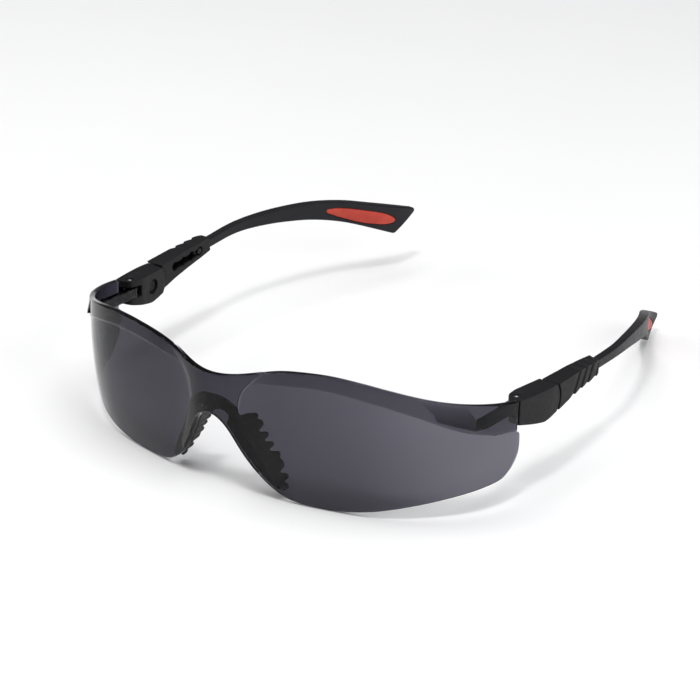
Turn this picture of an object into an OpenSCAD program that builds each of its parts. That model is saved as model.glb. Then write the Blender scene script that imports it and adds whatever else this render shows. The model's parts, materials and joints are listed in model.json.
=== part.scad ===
// Wraparound safety glasses: one smoked lens, a soft nose piece, and two temples that fold,
// tilt in clicks and lengthen. Millimetres, +Z up, the front of the lens faces -Y.
// "left" and "right" are the wearer's own, so left is +X. Sizes are drawn about the two hinge
// pins (Z = 0 at the tops of the hinge blocks), then the whole is set down on its rest plane.

/* [Lens] */
// Thickness of the lens wall
lens_wall = 2.1; // [1.8:0.1:2.4]
// How strongly the lens leans back below the brow, per square millimetre of drop
lens_lean = 0.0122; // [0.008:0.0002:0.014]

/* [Hinges] */
// Distance from the centre plane to each hinge pin
pin_x = 68; // [67.5:0.1:68.5]
// Radius of the steel hinge pin
hinge_pin_r = 1.1; // [0.9:0.05:1.2]
// Radius of the slot in which the lens lug turns
knuckle_r = 2.6; // [2.6:0.05:2.7]
// Radial clearance of every pin that turns in a bore
pin_clearance = 0.05; // [0.02:0.01:0.08]

/* [Tilt pivots] */
// How far the tilt pivot lies behind the hinge pin
tilt_y = 8.8; // [8.6:0.1:9]
// How far the tilt pivot lies below the top of the hinge block
tilt_drop = 4.6; // [4.5:0.05:4.7]
// Radius of the hinge block's round rear end
block_round_r = 6.8; // [6.7:0.05:6.9]
// Radius of the tilt pin's shank
tilt_pin_r = 1.4; // [1.2:0.1:1.6]
// Angle the right temple is clicked up at rest
right_tilt = 7; // [0:1:10]

/* [Temples] */
// Where the sleeve ends, behind the hinge pin
sleeve_end_y = 39; // [38:0.5:40]
// Where the length peg stands, behind the hinge pin
peg_y = 33.4; // [33:0.1:34]
// Distance between two clicks of the length slot
click_pitch = 4.1; // [3.8:0.1:4.1]
// Number of notches in the length slot
notch_count = 4; // [3:1:4]

/* [Rest] */
// Angle by which the temples slope down when the glasses stand on a table
rest_pitch = 3; // [2:0.1:4]
// Height of the hinge pins' tops above the table
rest_height = 29.8; // [29:0.1:31]
// Shift along Y that centres the glasses on the origin
rest_shift = -35; // [-36:0.1:-33]

/* [Hidden] */
$fn = 64;

left = 1;
right = -1;
far = 60;              // longer than any cut needs to be
hinge_span = [60, 80]; // X range that holds every part of the hinge and the sleeve
arm_span = [30, 75];   // X range that holds the temple arm
skin = 0.1;            // gap between flat faces that slide or turn past each other
press_gap = 0.02;      // gap around a pin that is pressed in
black = "#26262a";
smoke = [0.2, 0.2, 0.23, 0.75];
steel = "silver";
red = "#c8402c";

// Lens half outline from the centre to the temple end: x and y of the rear face in plan, then the
// heights of its top and bottom edges.
lens_stations = [
    [0, -46.9, 3.9, -8.0], [4.6, -46.4, 4.2, -10.8], [9.2, -45.0, 5.0, -19.2],
    [14.2, -43.8, 6.4, -26.3], [20.5, -43.2, 8.3, -30.7], [28, -42.1, 9.4, -31.7],
    [36, -40.5, 9.9, -31.4], [44, -37.7, 9.1, -29.9], [51, -33.3, 7.3, -27.9],
    [57, -27.7, 5.1, -26.1], [61.9, -22.1, 3.5, -24.5], [65.6, -15.6, 2.1, -23.2],
    [68.0, -8.9, 0.9, -21.9], [68.9, -3.1, 0.1, -17.4]
];
lens_half = len(lens_stations) - 1;
samples = 3;       // lens columns between two stations
lens_rows = 8;
lens_columns = 2 * lens_half * samples;
nose_soften = 0.3;       // share by which the lens leans back less in its middle
nose_soften_x = 45;      // distance from the centre plane at which that share is gone
temple_upright_x = 71;   // distance from the centre plane at which the lens stands upright
temple_upright_power = 10;

// The raised shoulder on the outer face ahead of each lug: its station numbers, and the height of its
// lower edge over the distance from the centre plane
shoulder_from = 8.85;
shoulder_to = 10.7;
shoulder_low = [[55.5, 4.2], [58.3, 0.6], [58.6, -1.2], [64.6, -4.9]];
shoulder_drop = 0.6;     // from the lens's top edge to the shoulder's
shoulder_foot = 0.8;     // how proud the shoulder stands at its lower edge
shoulder_head = 0.1;     // how proud it stands at its upper edge
shoulder_columns = 12;
shoulder_rows = 3;

// Upper outline of the nose bridge, as height over distance from the centre plane
arch_top = [
    [0, -2.9], [4, -3.5], [7.4, -5.9], [9.4, -9.8], [11.4, -14.4],
    [13.8, -18.8], [16.2, -22.8], [18.7, -27.6]
];
bridge_wall = 1.9;
bridge_gap = 0.06;      // keeps the bridge just clear of the lens it is bonded to
// Height of the bridge's lower edge above the lens's, over the distance from the centre plane
bridge_rise = [[0, 0.4], [2.9, 2.5], [5, 3], [5.8, 0.15], [20, 0.15]];
bridge_narrowest = 0.8;

// Nose pads
pad_top = [5.7, -43.1, -9.6];
pad_lean = 31;     // outward lean of each pad, seen from the front
pad_flare = 4;     // outward turn of each pad, seen from above
pad_thick = 1.8;
// Side outline of a pad, as distance back and down: its top edge, then for each fin the upper and
// lower end of its tip and the notch below it, then its bottom and its front edge
pad_outline = [
    [0.3, -0.3], [4.8, 0.2],
    [7.6, 1.15], [7.75, 2.5], [7.15, 2.8],
    [8.3, 3.45], [8.5, 5.1], [5.42, 5.97],
    [8.6, 7.15], [8.6, 8.35], [5.94, 8.99],
    [8.95, 10.15], [8.95, 11.25], [6.27, 11.94],
    [9.55, 13.3], [9.75, 14.7], [8.9, 15.0],
    [9.6, 15.7], [9.6, 17.8], [6.72, 18.6],
    [9.1, 19.7], [9.2, 21.1], [7.05, 21.55],
    [7.9, 22.1], [7.8, 23.6], [6.3, 23.7],
    [4.2, 21.9], [2.9, 14], [1.3, 6]
];
fin_round = 0.5;
fin_facets = 24;

// Hinge lug of the lens and the slot it turns in
lug_top = -2.2;
lug_bottom = -5.5;
lug_in = 2.5;      // from the pin's axis to the bar's inner face
lug_wall = 1.7;
lug_front_y = -16;
lug_rear_y = 0.6;
eye_r = 1.95;
front_seam_y = -2.8;
pin_bottom = -8.0;
pin_top = -0.5;

// Hinge block, plan and side outlines
block_front_r = 2.2;
block_in = [65.5, 3, 66.9, 15.8];   // inner side in plan, from x, y to x, y
block_out = [[71.1, front_seam_y], [72.2, 4.4], [72.7, 9.6], [72.7, 15.8]];
block_under = [[15.8, -8.1], [10.8, -9.35], [8.3, -9.65], [4, -8.95], [front_seam_y, -7.3]];
cheek_front_x = 69.1;
cheek_in_x = 68.3;
cheek_out_x = 71.2;   // outer face of the fork
tongue_r = 3.4;
neck_half = 1.9;
neck_swing = 4.1;
recess_r = 2.35;
recess_deep = 1.2;
head_r = 1.8;
head_thick = 0.45;
shank_end = 0.5;      // how far the tilt pin's shank runs on beyond the fork

// Sleeve
sleeve_gap = 0.3;
sleeve_outer = [[67.1, 8], [73.0, 8], [72.9, 16], [71.9, 37], [71.3, sleeve_end_y]];  // in plan
sleeve_inner = [[67.9, sleeve_end_y], [67.6, 34]];                                    // in plan
sleeve_upper = [[8, -0.3], [27, -0.5], [sleeve_end_y, -1.0]];                         // Y and Z
sleeve_lower = [[sleeve_end_y, -5.4], [28, -6.3], [21, -7.1], [14, -8.4], [8, -8.4]]; // Y and Z
passage_spare = 0.6;   // how much longer the passage is than the arm's travel
slot_floor_x = 69;
slot_half = 1.05;
notch_r = 1.45;
notch_rise = 0.1;      // from the slot's middle to the notches' middles
peg_r = 0.95;
peg_face_x = 67.7;
slot_z = -3.4;
groove_y = [27.6, 31.4, 35.1];
groove_x = 71.95;      // floor of the first groove
groove_toe = 0.055;    // how fast the grooves' floors run inward with the sleeve's outer side
groove_wide = 0.5;
groove_lean = 28;

// Temple arm: y, x of the centre line, z of the top edge, height, thickness. The first two
// stations are the straight root that slides inside the sleeve.
root_y = 31.6;
arm_stations = [
    [39, 69.4, -1.75, 3.0, 2.3], [51.5, 68.85, -1.75, 3.0, 2.3], [62, 66.8, -2.3, 3.6, 2.5],
    [72, 64.1, -3.4, 4.4, 2.7], [82, 60.7, -4.9, 5.4, 2.9], [92, 56.2, -7.35, 6.8, 3.0],
    [101, 51.5, -10.6, 8.3, 3.0], [110, 47.6, -14.1, 9.9, 2.8], [118.7, 46.1, -17.6, 11.2, 2.4]
];
arm_end = len(arm_stations) - 1;
arm_samples = 5;
slide_slope = (arm_stations[1][1] - arm_stations[0][1]) / (arm_stations[1][0] - arm_stations[0][0]);
tip_bottom_t = 6.8; // station number at which the lower edge of the tip ends

// Tip insert: from, to in station numbers, then how far down the arm's height its upper and lower
// edges lie, over the way along it
insert_from = 4.45;
insert_to = 6.9;
insert_high = [[0, 0.46], [0.03, 0.36], [0.15, 0.29], [0.4, 0.275], [0.7, 0.275], [0.9, 0.33], [1, 0.47]];
insert_low = [
    [0, 0.46], [0.03, 0.6], [0.15, 0.75], [0.28, 0.82], [0.41, 0.86], [0.55, 0.84],
    [0.7, 0.79], [0.83, 0.73], [0.92, 0.65], [1, 0.47]
];

// A smooth curve through points: Catmull-Rom, t counts the points from 0.
function smooth(p, t) =
    let(
        i = min(max(floor(t), 0), len(p) - 2),
        f = t - i,
        b = p[i],
        c = p[i + 1],
        a = i > 0 ? p[i - 1] : 2 * b - c,
        d = i < len(p) - 2 ? p[i + 2] : 2 * c - b
    )
    0.5 * (2 * b + (c - a) * f + (2 * a - 5 * b + 4 * c - d) * f * f
        + (3 * b - a - 3 * c + d) * f * f * f);

function mirrored(p) = concat([-p[0]], [for (k = [1:len(p) - 1]) p[k]]);
function unit(v) = v / norm(v);

// Whole lens outline, right end to left end; t runs from -lens_half to lens_half.
lens_outline = concat(
    [for (k = [lens_half:-1:1]) mirrored(lens_stations[k])],
    lens_stations
);
function lens_station(t) = smooth(lens_outline, t + lens_half);
function lens_normal(t) =
    let(step = 0.01, d = lens_station(t + step) - lens_station(t - step))
    unit([d[1], -d[0]]);
function lens_set_back(x, z) =
    let(
        nose_ease = 1 - nose_soften * pow(cos(90 * min(abs(x) / nose_soften_x, 1)), 2),
        temple_ease = 1 - pow(min(abs(x) / temple_upright_x, 1), temple_upright_power)
    )
    lens_lean / 2 * pow(min(z, 0), 2) * nose_ease * temple_ease;
// Point at height z on the lens, ahead of its rear face by the given distance.
function lens_point(t, z, ahead) =
    let(s = lens_station(t), n = lens_normal(t))
    [s[0] + n[0] * ahead, s[1] + n[1] * ahead + lens_set_back(s[0], z), z];

// A closed shell between two equal grids of points.
module shell_between(front, back) {
    nu = len(front);
    nv = len(front[0]);
    back_at = nu * nv;
    front_quads = [
        for (i = [0:nu - 2], j = [0:nv - 2])
            [i * nv + j, (i + 1) * nv + j, (i + 1) * nv + j + 1, i * nv + j + 1]
    ];
    rim = concat(
        [for (i = [0:nu - 1]) i * nv],
        [for (j = [1:nv - 1]) (nu - 1) * nv + j],
        [for (i = [nu - 2:-1:0]) i * nv + nv - 1],
        [for (j = [nv - 2:-1:1]) j]
    );
    nr = len(rim);
    polyhedron(
        points = concat([for (row = front) each row], [for (row = back) each row]),
        faces = concat(
            [for (q = front_quads) [q[0], q[2], q[1]]],
            [for (q = front_quads) [q[0], q[3], q[2]]],
            [for (q = front_quads) [q[0] + back_at, q[1] + back_at, q[2] + back_at]],
            [for (q = front_quads) [q[0] + back_at, q[2] + back_at, q[3] + back_at]],
            [for (k = [0:nr - 1]) [rim[k], rim[(k + 1) % nr], rim[(k + 1) % nr] + back_at]],
            [for (k = [0:nr - 1]) [rim[k], rim[(k + 1) % nr] + back_at, rim[k] + back_at]]
        )
    );
}

function lens_grid(ahead) = [
    for (i = [0:lens_columns])
        let(t = -lens_half + i / samples, s = lens_station(t))
        [for (j = [0:lens_rows]) lens_point(t, s[3] + (s[2] - s[3]) * j / lens_rows, ahead)]
];

// Points of the shoulder's face; how far ahead of the lens's rear face its lower and upper edges lie
function shoulder_grid(foot, head) = [
    for (i = [0:shoulder_columns])
        let(
            t = shoulder_from + (shoulder_to - shoulder_from) * i / shoulder_columns,
            s = lens_station(t),
            low = lookup(s[0], shoulder_low),
            high = s[2] - shoulder_drop
        )
        [for (j = [0:shoulder_rows])
            let(f = j / shoulder_rows)
            lens_point(t, low + (high - low) * f, foot + (head - foot) * f)]
];

module lens() {
    color(smoke) {
        difference() {
            union() {
                shell_between(lens_grid(lens_wall), lens_grid(0));
                for (side = [left, right])
                    on_side(side) {
                        lens_lug();
                        shell_between(
                            shoulder_grid(lens_wall + shoulder_foot, lens_wall + shoulder_head),
                            shoulder_grid(lens_wall / 2, lens_wall / 2)
                        );
                    }
            }
            for (side = [left, right])
                on_side(side)
                    translate([pin_x, 0, -far / 2])
                        cylinder(r = hinge_pin_r + pin_clearance, h = far);
        }
    }
}

// The straight bar behind each end of the lens, with the eye that the hinge pin passes through.
module lens_lug() {
    translate([0, 0, lug_bottom])
        linear_extrude(lug_top - lug_bottom) {
            translate([pin_x, 0]) circle(eye_r);
            translate([pin_x - lug_in, lug_front_y]) square([lug_wall, lug_rear_y - lug_front_y]);
        }
}

// Station numbers of the nose bridge's columns
bridge_half_t = 3.5;
bridge_columns = 30;
bridge_rows = 4;
function bridge_low(s) = s[3] + lookup(abs(s[0]), bridge_rise);
function bridge_high(s) = max(lookup(abs(s[0]), arch_top), bridge_low(s) + bridge_narrowest);
function bridge_grid(ahead) = [
    for (i = [0:bridge_columns])
        let(
            t = bridge_half_t * (2 * i / bridge_columns - 1),
            s = lens_station(t),
            low = bridge_low(s),
            high = bridge_high(s)
        )
        [for (j = [0:bridge_rows]) lens_point(t, low + (high - low) * j / bridge_rows, ahead)]
];

module nose_bridge() {
    color(black) shell_between(bridge_grid(-bridge_gap), bridge_grid(-bridge_gap - bridge_wall));
}

// A thin blade that stands back from the bridge, its rear edge cut into rounded fins.
module nose_pad() {
    color(black)
        difference() {
            translate(pad_top)
                rotate([0, -pad_lean, 0])
                    rotate([0, 0, -pad_flare])
                        rotate([90, 0, -90])
                            translate([0, 0, -pad_thick / 2])
                                linear_extrude(pad_thick) pad_side();
            // Everything ahead of the bridge's rear face
            shell_between(bridge_grid(bridge_wall), bridge_grid(-bridge_gap - bridge_wall - bridge_gap));
        }
}

// Side outline of a nose pad, its fin tips rounded
module pad_side() {
    offset(r = fin_round, $fn = fin_facets)
        offset(delta = -fin_round)
            polygon([for (p = pad_outline) [-p[0], -p[1]]]);
}

// Plan outline of the hinge block: round about the pin in front, toed out towards the rear.
module block_plan() {
    hull() {
        translate([pin_x, 0]) circle(block_front_r);
        polygon(concat(
            [[cheek_front_x, front_seam_y]],
            block_out,
            [[block_in[2], block_in[3]], [block_in[0], block_in[1]]]
        ));
    }
}

// Side outline of the hinge block, in Y and Z
module block_side() {
    intersection() {
        polygon(concat([[front_seam_y, 0], [block_under[0][0], 0]], block_under));
        union() {
            translate([tilt_y, -tilt_drop]) circle(block_round_r);
            translate([-far + tilt_y, -far / 2]) square([far, far]);
        }
    }
}

// Turns a Y-Z outline into a solid that runs along X over the given range.
module along_x(from, to) {
    translate([from, 0, 0]) rotate([90, 0, 90]) linear_extrude(to - from) children();
}

module pin_hole(r, from, to) {
    translate([pin_x, 0, from]) cylinder(r = r, h = to - from);
}

module tilt_hole(r, from, to) {
    translate([from, tilt_y, -tilt_drop]) rotate([0, 90, 0]) cylinder(r = r, h = to - from);
}

module hinge_block() {
    color(black)
        difference() {
            intersection() {
                translate([0, 0, -far / 2]) linear_extrude(far) block_plan();
                along_x(hinge_span[0], hinge_span[1]) block_side();
            }
            // Slot for the lens lug, open to the front and to the inner side
            translate([0, 0, lug_bottom - skin])
                linear_extrude(lug_top - lug_bottom + 2 * skin) {
                    translate([pin_x, 0]) circle(knuckle_r + skin);
                    translate([pin_x - far, -far + knuckle_r + skin]) square([far, far]);
                    translate([pin_x - far, -far]) square([far + knuckle_r + skin, far]);
                }
            // Fork for the sleeve's tongue
            tilt_hole(tongue_r + skin, cheek_in_x - skin, cheek_out_x + skin);
            along_x(cheek_in_x - skin, cheek_out_x + skin)
                polygon([
                    [tilt_y, -tilt_drop + neck_half + skin],
                    [tilt_y + block_round_r + 1, -tilt_drop + neck_swing],
                    [tilt_y + block_round_r + 1, -tilt_drop - neck_swing],
                    [tilt_y, -tilt_drop - neck_half - skin]
                ]);
            pin_hole(hinge_pin_r + press_gap, -far / 2, far / 2);
            tilt_hole(tilt_pin_r + press_gap, hinge_span[0], cheek_out_x + shank_end + skin);
            tilt_hole(recess_r, hinge_span[0], tilt_face_x + recess_deep);
        }
}

// X of the hinge block's inner face beside the tilt pivot
tilt_face_x = block_in[0]
    + (tilt_y - block_in[1]) * (block_in[2] - block_in[0]) / (block_in[3] - block_in[1]);

module hinge_pin() {
    color(steel) pin_hole(hinge_pin_r, pin_bottom, pin_top);
}

module tilt_pin() {
    color(black) {
        tilt_hole(tilt_pin_r, tilt_face_x + recess_deep - head_thick, cheek_out_x + shank_end);
        tilt_hole(head_r, tilt_face_x + recess_deep - head_thick, tilt_face_x + recess_deep);
    }
}

module sleeve_plan() {
    polygon(concat(sleeve_outer, sleeve_inner));
}

module sleeve_side() {
    polygon(concat(sleeve_upper, sleeve_lower));
}

// The straight passage for the arm's root, and the root itself when grow is 0
module root_bar(from, to, grow) {
    a = arm_stations[0];
    x_at = [for (y = [from, to]) a[1] + slide_slope * (y - a[0])];
    half = a[4] / 2 + grow;
    translate([0, 0, a[2] - a[3] - grow])
        linear_extrude(a[3] + 2 * grow)
            polygon([
                [x_at[0] - half, from], [x_at[0] + half, from],
                [x_at[1] + half, to], [x_at[1] - half, to]
            ]);
}

module sleeve() {
    slot_front = peg_y - click_pitch * (notch_count - 1);
    color(black)
        difference() {
            union() {
                difference() {
                    intersection() {
                        translate([0, 0, -far / 2]) linear_extrude(far) sleeve_plan();
                        along_x(hinge_span[0], hinge_span[1]) sleeve_side();
                    }
                    tilt_hole(block_round_r + sleeve_gap, hinge_span[0], hinge_span[1]);
                }
                tilt_hole(tongue_r, cheek_in_x, cheek_out_x);
                along_x(cheek_in_x, cheek_out_x)
                    translate([tilt_y, -tilt_drop - neck_half]) square([block_round_r + 1, 2 * neck_half]);
            }
            tilt_hole(tilt_pin_r + pin_clearance, hinge_span[0], hinge_span[1]);
            root_bar(root_y - click_pitch * (notch_count - 1) - passage_spare, sleeve_end_y + 1, skin);
            // Length slot with its click notches, through the inner wall only
            along_x(hinge_span[0], slot_floor_x) {
                translate([slot_front, slot_z - slot_half]) square([peg_y - slot_front, 2 * slot_half]);
                for (k = [0:notch_count - 1])
                    translate([slot_front + k * click_pitch, slot_z + notch_rise]) circle(notch_r);
            }
            grip_grooves();
        }
}

// Three thin grooves down the outer side of the sleeve, leaning forward as they go down
module grip_grooves() {
    for (y = groove_y)
        translate([groove_x - (y - groove_y[0]) * groove_toe, y, 0])
            rotate([-groove_lean, 0, 0])
                translate([0, 0, -far / 2]) cube([far, groove_wide, far]);
}

function arm_at(t) = smooth(arm_stations, t);
function arm_out(t) =
    let(step = 0.01, d = arm_at(min(t + step, arm_end)) - arm_at(t - step))
    unit([d[0], -d[1]]);
arm_steps = (arm_end - 1) * arm_samples;
function arm_t(k) = 1 + k / arm_samples;

// Side outline of the arm behind its straight root, in Y and Z
module arm_side() {
    low_steps = floor((tip_bottom_t - 1) * arm_samples);
    polygon(concat(
        [for (k = [0:arm_steps]) let(s = arm_at(arm_t(k))) [s[0], s[2]]],
        [for (k = [low_steps:-1:0]) let(s = arm_at(arm_t(k))) [s[0], s[2] - s[3]]]
    ));
}

// Plan outline of the arm behind its straight root, widened at each side by grow
module arm_plan(grow) {
    edge = [
        for (side = [1, -1])
            [for (k = [0:arm_steps])
                let(s = arm_at(arm_t(k)), n = arm_out(arm_t(k)), w = side * (s[4] / 2 + grow))
                [s[1] + n[0] * w, s[0] + n[1] * w]]
    ];
    polygon(concat(edge[0], [for (k = [arm_steps:-1:0]) edge[1][k]]));
}

// Side outline of the insert, in Y and Z
module insert_side() {
    polygon(concat(
        [for (f = insert_high) insert_point(f)],
        [for (k = [len(insert_low) - 2:-1:1]) insert_point(insert_low[k])]
    ));
}

function insert_point(f) =
    let(s = arm_at(insert_from + (insert_to - insert_from) * f[0]))
    [s[0], s[2] - s[3] * f[1]];

module temple_arm() {
    color(black)
        difference() {
            union() {
                root_bar(root_y, arm_stations[1][0] + press_gap, 0);
                intersection() {
                    translate([0, 0, -far]) linear_extrude(far) arm_plan(0);
                    along_x(arm_span[0], arm_span[1]) arm_side();
                }
            }
            along_x(arm_span[0], arm_span[1]) insert_side();
        }
}

module tip_insert() {
    color(red)
        intersection() {
            translate([0, 0, -far]) linear_extrude(far) arm_plan(0);
            along_x(arm_span[0], arm_span[1]) insert_side();
        }
}

module length_peg() {
    face_x = arm_stations[0][1] + slide_slope * (peg_y - arm_stations[0][0]) - arm_stations[0][4] / 2;
    color(black)
        difference() {
            translate([peg_face_x, peg_y, slot_z])
                rotate([0, 90, 0]) cylinder(r = peg_r, h = face_x - peg_face_x + 2 * skin);
            root_bar(root_y, arm_stations[1][0], 0);
        }
}

// Places a sub-part drawn for the left side on the asked side.
module on_side(side) {
    if (side == left) children();
    else mirror([1, 0, 0]) children();
}

// Turns a temple sub-part about its tilt pivot to the click it rests in.
module tilted(side) {
    angle = side == right ? right_tilt : 0;
    translate([0, tilt_y, -tilt_drop])
        rotate([angle, 0, 0])
            translate([0, -tilt_y, tilt_drop]) children();
}

// Sets the whole drawing down on the table.
module placed() {
    translate([0, rest_shift, rest_height]) rotate([-rest_pitch, 0, 0]) children();
}

module hinge_part(side) {
    placed() on_side(side) children();
}

module temple_part(side) {
    placed() on_side(side) tilted(side) children();
}

placed() lens();
placed() nose_bridge();
hinge_part(left) nose_pad();  // nose_pad_left
hinge_part(right) nose_pad();  // nose_pad_right
hinge_part(left) hinge_block();  // hinge_block_left
hinge_part(right) hinge_block();  // hinge_block_right
hinge_part(left) hinge_pin();  // hinge_pin_left
hinge_part(right) hinge_pin();  // hinge_pin_right
hinge_part(left) tilt_pin();  // tilt_pin_left
hinge_part(right) tilt_pin();  // tilt_pin_right
temple_part(left) sleeve();  // sleeve_left
temple_part(right) sleeve();  // sleeve_right
temple_part(left) temple_arm();  // temple_arm_left
temple_part(right) temple_arm();  // temple_arm_right
temple_part(left) length_peg();  // length_peg_left
temple_part(right) length_peg();  // length_peg_right
temple_part(left) tip_insert();  // tip_insert_left
temple_part(right) tip_insert();  // tip_insert_right
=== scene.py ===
"""Looks of the safety glasses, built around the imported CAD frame. Drawing units are millimetres
in the drawing frame of the part (hinge pin tops at z = 0), and home() sets them down in the row frame."""

import json
import math

import bpy
import numpy as np
from mathutils import Matrix, Vector


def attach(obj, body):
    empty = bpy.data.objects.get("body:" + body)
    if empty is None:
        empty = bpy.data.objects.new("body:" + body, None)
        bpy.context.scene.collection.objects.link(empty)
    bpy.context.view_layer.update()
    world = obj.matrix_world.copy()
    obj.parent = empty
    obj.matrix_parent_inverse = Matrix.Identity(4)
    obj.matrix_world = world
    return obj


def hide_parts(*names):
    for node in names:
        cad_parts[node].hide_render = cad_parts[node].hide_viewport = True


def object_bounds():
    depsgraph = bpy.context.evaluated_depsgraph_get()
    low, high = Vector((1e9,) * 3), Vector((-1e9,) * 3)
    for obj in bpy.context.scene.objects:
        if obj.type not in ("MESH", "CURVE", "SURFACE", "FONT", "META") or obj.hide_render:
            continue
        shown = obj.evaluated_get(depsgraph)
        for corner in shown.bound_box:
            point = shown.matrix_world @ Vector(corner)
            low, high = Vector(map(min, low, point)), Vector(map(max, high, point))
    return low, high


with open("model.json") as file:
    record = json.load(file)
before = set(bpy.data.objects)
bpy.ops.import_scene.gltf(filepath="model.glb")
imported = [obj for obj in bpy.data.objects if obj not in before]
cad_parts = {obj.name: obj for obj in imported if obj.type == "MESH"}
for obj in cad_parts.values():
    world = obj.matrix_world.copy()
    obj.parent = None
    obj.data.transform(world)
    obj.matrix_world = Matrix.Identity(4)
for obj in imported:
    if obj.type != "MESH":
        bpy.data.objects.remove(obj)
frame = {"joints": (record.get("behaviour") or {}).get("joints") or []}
cad_box = [list(corner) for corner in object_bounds()]

# ---------------------------------------------------------------- placing

MM = 0.001
PIN = np.array([68.0, 0.0, -4.0])      # the fold joint's point, in the drawing frame
TILT = np.array([70.0, 8.8, -4.6])     # the tilt joint's point, in the drawing frame
PIN_X = PIN[0]

joints = {j["name"]: j for j in frame["joints"]}
fold = joints["fold_left"]
PITCH = math.atan2(fold["axis"][1], fold["axis"][2])
CLICK = math.radians(joints["tilt_left"]["range_deg"][0] - joints["tilt_right"]["range_deg"][0])


def turn_x(angle):
    c, s = math.cos(angle), math.sin(angle)
    return np.array([[1, 0, 0], [0, c, -s], [0, s, c]])


HOME_TURN = turn_x(-PITCH)
HOME_SHIFT = np.array(fold["pos_m"]) / MM - HOME_TURN @ PIN


def home(points, side=1, tilted=False):
    """Points drawn for the left side, as metres in the row frame."""
    p = np.array(points, float)
    p[:, 0] *= side
    if tilted and side < 0:
        pivot = TILT * [side, 1, 1]
        p = (p - pivot) @ turn_x(CLICK).T + pivot
    return (p @ HOME_TURN.T + HOME_SHIFT) * MM


# ---------------------------------------------------------------- camera

def add_camera():
    """The view of the photograph: a long lens, from the front and the wearer's left."""
    azimuth, elevation, roll = math.radians(34.664), math.radians(22.406), math.radians(2.001)
    target, distance = np.array([-0.199, 18.673, -10.881]), 758.108
    back = np.array([math.sin(azimuth) * math.cos(elevation),
                     -math.cos(azimuth) * math.cos(elevation), math.sin(elevation)])
    right = np.array([math.cos(azimuth), math.sin(azimuth), 0.0])
    up = np.cross(back, right)
    side = math.cos(roll) * right + math.sin(roll) * up
    top = -math.sin(roll) * right + math.cos(roll) * up
    data = bpy.data.cameras.new("camera")
    data.sensor_width = 36
    data.lens = 133.714
    data.clip_start, data.clip_end = 0.05, 20
    camera = bpy.data.objects.new("camera", data)
    bpy.context.scene.collection.objects.link(camera)
    spot = home([target + back * distance])[0]
    axes = [HOME_TURN @ v for v in (side, top, back)]
    rows = [[axes[c][r] for c in range(3)] + [spot[r]] for r in range(3)] + [[0, 0, 0, 1]]
    camera.matrix_world = Matrix(rows)
    bpy.context.scene.camera = camera


add_camera()

# ---------------------------------------------------------------- meshes


def new_mesh(name, verts, quads, side=1):
    """A smooth mesh object from metres and faces. A mirrored side turns its faces round."""
    faces = [list(map(int, q)) for q in quads]
    if side < 0:
        faces = [f[::-1] for f in faces]
    mesh = bpy.data.meshes.new(name)
    mesh.from_pydata([tuple(v) for v in verts], [], faces)
    mesh.validate()
    mesh.shade_smooth()
    ob = bpy.data.objects.new(name, mesh)
    bpy.context.scene.collection.objects.link(ob)
    return ob


def apply_modifiers(ob):
    """Bakes the object's modifiers into its mesh."""
    graph = bpy.context.evaluated_depsgraph_get()
    mesh = bpy.data.meshes.new_from_object(ob.evaluated_get(graph))
    ob.modifiers.clear()
    ob.data = mesh
    return ob


def joined(base, extra):
    """The union of two closed objects; the second one is used up."""
    m = base.modifiers.new("bool", "BOOLEAN")
    m.operation = "UNION"
    m.object = extra
    m.solver = "EXACT"
    apply_modifiers(base)
    bpy.data.objects.remove(extra)
    base.data.shade_smooth()
    return base


def settle(ob, body, material, replaces):
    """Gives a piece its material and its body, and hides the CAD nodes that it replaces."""
    ob.data.materials.clear()
    ob.data.materials.append(material)
    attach(ob, body)
    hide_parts(*replaces)
    return ob


# Distance fields. Negative is inside. Rounding radii stand for the mould's edge radii.

def length(*parts):
    return np.sqrt(sum(np.square(p) for p in parts))


def both(a, b, r):
    """Intersection with its outer edge rounded."""
    return np.minimum(-r, np.maximum(a, b)) + length(np.maximum(a + r, 0), np.maximum(b + r, 0))


def either(a, b, r):
    """Union with its inner corner filled."""
    return np.maximum(r, np.minimum(a, b)) - length(np.maximum(r - a, 0), np.maximum(r - b, 0))


def without(a, b, r):
    return both(a, -b, r)


def convex(a, b, points, r):
    """Distance to a convex outline given anticlockwise, corners rounded."""
    parts = []
    for k, p in enumerate(points):
        q = points[(k + 1) % len(points)]
        ex, ey = q[0] - p[0], q[1] - p[1]
        n = math.hypot(ex, ey)
        parts.append(((a - p[0]) * ey - (b - p[1]) * ex) / n)
    top = parts[0]
    for part in parts[1:]:
        top = np.maximum(top, part)
    rounded = sum(np.square(np.maximum(part + r, 0)) for part in parts)
    return np.minimum(-r, top) + np.sqrt(rounded)


def slab(a, low, high):
    return np.maximum(low - a, a - high)


def ease(a, low, high):
    t = np.clip((a - low) / (high - low), 0, 1)
    return t * t * (3 - 2 * t)


def blurred(v, passes):
    """The grid of values smoothed along each axis, which keeps cracks finer than a cell out of the mesh."""
    for _ in range(passes):
        for axis in range(3):
            ahead, behind = np.roll(v, -1, axis), np.roll(v, 1, axis)
            v = 0.5 * v + 0.25 * (ahead + behind)
    return v


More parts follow.
